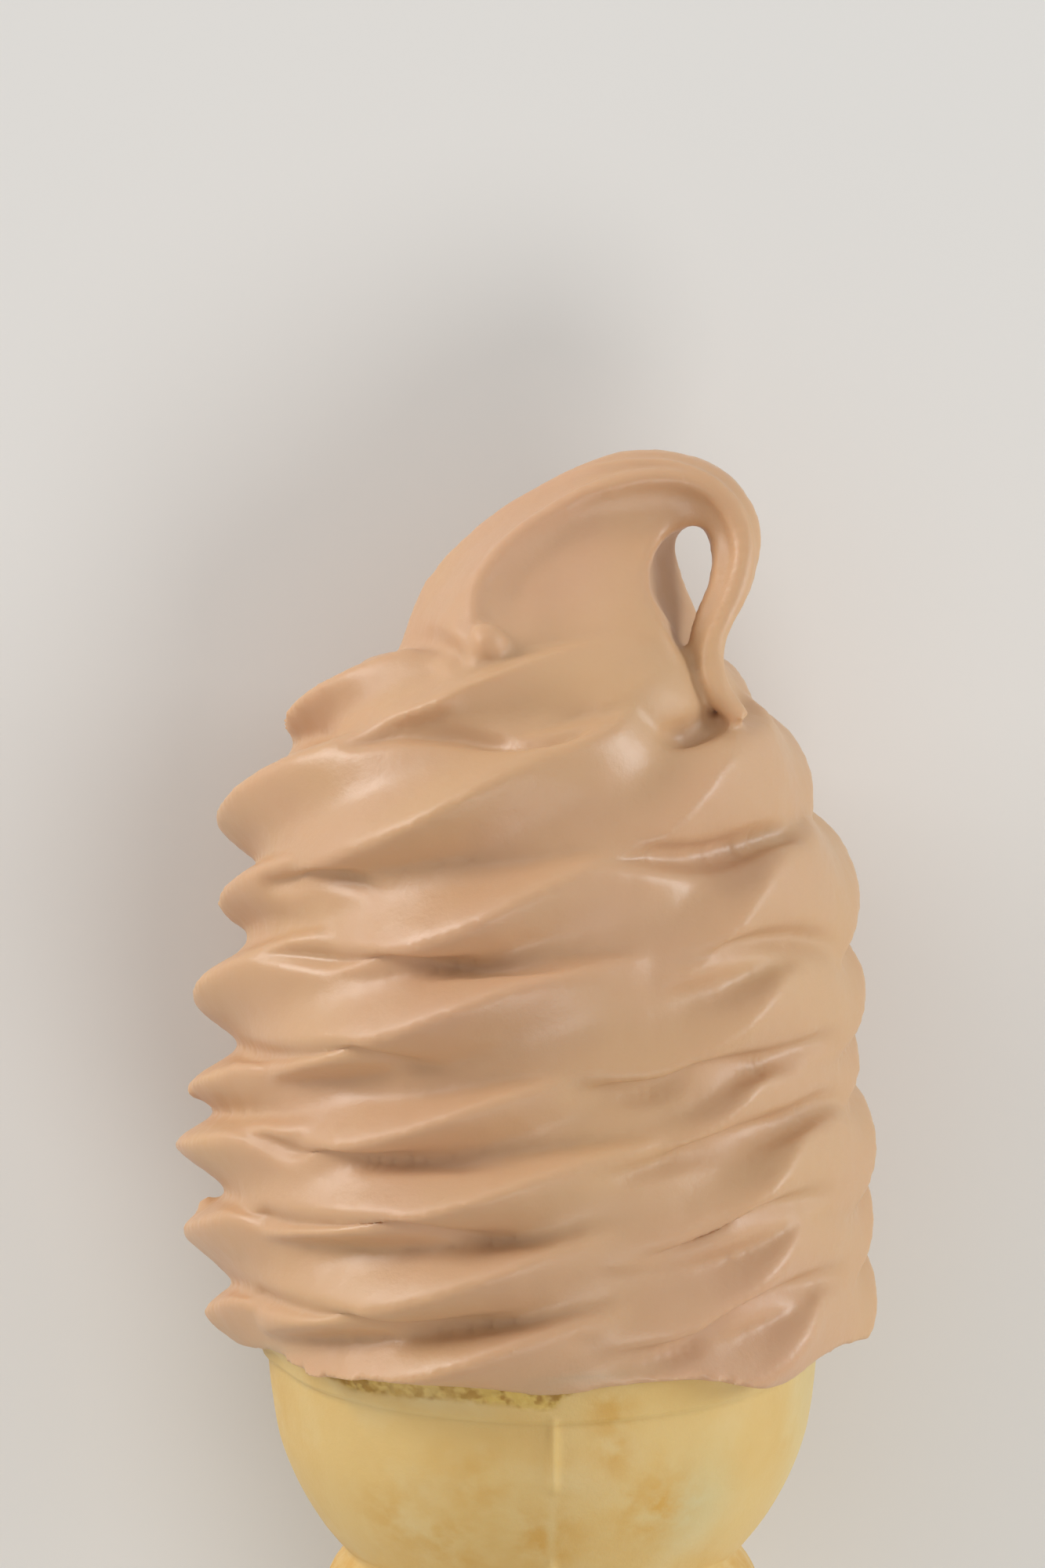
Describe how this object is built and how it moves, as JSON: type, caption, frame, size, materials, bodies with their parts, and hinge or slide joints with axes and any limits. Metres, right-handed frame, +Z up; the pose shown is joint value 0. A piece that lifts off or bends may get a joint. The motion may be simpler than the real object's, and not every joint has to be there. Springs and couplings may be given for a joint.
{
  "type": "soft serve cone",
  "caption": "Piped swirl of soft serve ice cream with a curled peak on a moulded wafer cup, lying on its back on a small flat spot.",
  "frame": {"origin": "under the middle of the lying part's outline, on the surface that it rests on", "axes": "+Z up, out of the shown side; +Y along the cup's axis from the cup's foot towards the swirl's peak, within 4 degrees; +X to the right of the shown side"},
  "size_m": [0.067, 0.1634, 0.0642],
  "materials": {
    "ice_cream": "caramel-beige soft serve, smooth and slightly translucent, satin sheen on the ridges, finely grained in the folds",
    "wafer": "pale golden baked wafer, matte to faintly satin, with browner blotches and a rough torn patch under the rim"
  },
  "bodies": {
    "root": {"swirl": "ice_cream", "wafer_cup": "wafer"}
  },
  "joints": []
}
